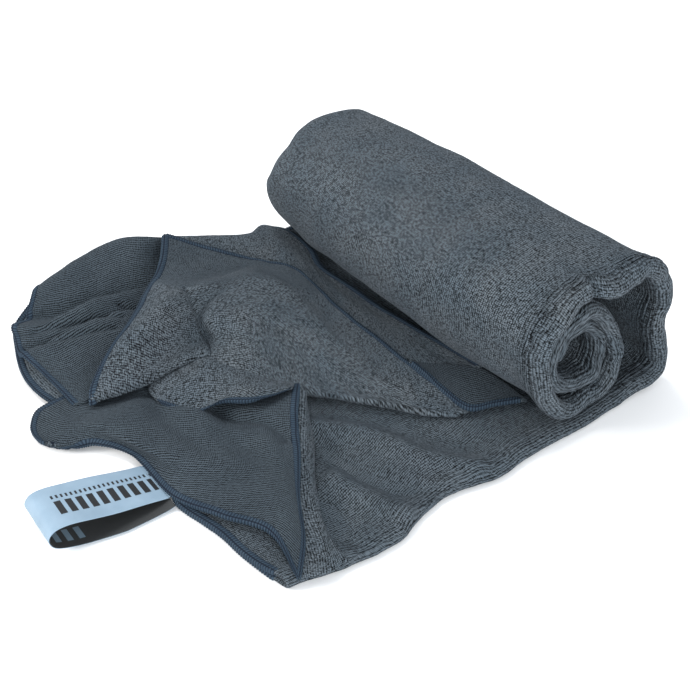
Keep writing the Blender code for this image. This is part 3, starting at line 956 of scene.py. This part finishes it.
def loop_grid():
    """The middle of the ribbon over its length and width, with a slack edge on the near side."""
    line = np.array(LOOP_LINE, float)
    middle = catmull(line, even_places(line, FINE_SPACING))
    run = lengths_along(middle)
    distance, height = middle[:, :1], middle[:, 1:]
    across = np.linspace(-0.5, 0.5, 27)
    share = (run / run[-1])[:, None]
    bulge = np.sin(math.pi * np.clip(share / 0.62, 0, 1)) ** 2
    under = np.clip((share - 0.5) / 0.3, 0, 1)
    skew = (distance / 63) ** 1.5
    x = LOOP_HINGE[0] + across * RIBBON_WIDTH - 3.5 * skew + 9.0 * under * (1 - 0.3 * share)
    y = LOOP_HINGE[1] - distance - across * 1.5 * (distance / 63)
    z = height - 2.0 * across * bulge + 0.35 * np.sin(share * 17.0 + 3.0 * across) * bulge
    return np.stack(np.broadcast_arrays(x, y, np.maximum(z, 0.5)), axis=-1)


def ribbon(name, grid, body):
    """A length of ribbon about a grid, printed on top and charcoal underneath."""
    places = cloth_places(grid)
    outside = np.zeros(grid.shape[:2])
    points, faces, where, pile = thicken(grid, RIBBON_THICKNESS, places, outside, outside + 1, 0.0)
    piece = make_piece(name, points, faces, where, pile, RIBBON, body)
    return piece


# Everything built

make_studio()
CLOTH = cloth_material()
HEM = hem_material()
RIBBON = ribbon_material()

body, body_middle = make_body()
upper = creased(rumpled(UPPER_PLY, 0.8, 21), UPPER_CREASES)
flap = creased(rumpled(LEFT_FLAP, 0.6, 31), FLAP_CREASES)
pocket = rumpled(POCKET_PLY, 0.4, 41)
corner = creased(rumpled(FRONT_CORNER, 0.5, 51), CORNER_CREASES)
small = rumpled(SMALL_FLAP, 0.5, 61)
strip = rumpled(ROLL_STRIP, 0.6, 71)
leaf = rumpled(LEAF, 0.3, 81)
turned_edge = rumpled(TERRY_STRIP, 0.3, 91)

terry = in_front_of(upper, CREST_LINE)
upper_ply = cloth("towel_upper_ply", upper, KNIT_SHOWING + (1 - KNIT_SHOWING) * terry, 1 - terry)
left_flap = cloth("towel_left_flap", flap, pile_top=0.0)
pocket_ply = cloth("towel_pocket_ply", pocket)
corner_ply = cloth("towel_front_corner", corner, pile_top=0.0)
small_flap = cloth("towel_small_flap", small)
strip_ply = cloth("towel_strip_by_roll", strip)
leaf_ply = cloth("towel_leaf_by_roll", leaf, pile_top=0.0)
terry_strip = cloth("towel_turned_edge", turned_edge[::-1])

hems = {
    "upper": [
        hem_on("overlock_upper_ply", upper, "first_row"),
        hem_on("overlock_upper_ply_left", upper, "first_column"),
    ],
    "flap": [hem_on("overlock_left_flap", flap, "first_column")],
    "pocket": [hem_on("overlock_pocket_ply", pocket, "first_row")],
    "corner": [
        hem_on("overlock_corner_left", corner, "first_column"),
        hem_on("overlock_corner_front", corner, "last_row"),
        hem_on("overlock_corner_right", corner, "last_column"),
    ],
    "small": [hem_on("overlock_small_flap", small, "last_row")],
    "strip": [hem_on("overlock_strip_by_roll", strip, "first_row")],
    "leaf": [hem_on("overlock_leaf_by_roll", leaf, "last_row")],
}
body_hems = [
    *front_hems(body_middle),
    hem_on("overlock_far_outer", body_middle, "first_column"),
    hem_on("overlock_far_inner", body_middle, "last_column"),
]
loop = ribbon("hang_loop_ribbon", loop_grid(), RIDE_LOOP)
ribbon_tail = ribbon("ribbon_tail_under_hem", smooth_sheet(RIBBON_TAIL, FINE_SPACING), RIDE_TOWEL)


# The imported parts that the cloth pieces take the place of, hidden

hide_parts("laid_double_layer", "rolled_outer_turn", "rolled_inner_coil")
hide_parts("upper_ply", "central_fold")
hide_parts("crumpled_left_side")
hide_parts("turned_corner", "loose_front_corner")
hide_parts("small_flap")
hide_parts("hem_upper_ply")
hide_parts("hem_central_fold")
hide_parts("hem_left_side")
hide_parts("hem_front_corner")
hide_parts("hem_second_ply")
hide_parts("hem_turned_corner")
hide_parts("hem_small_flap")
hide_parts("hem_beside_roll")
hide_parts("hem_under_roll")
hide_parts("hem_front_end")
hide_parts("hang_loop")
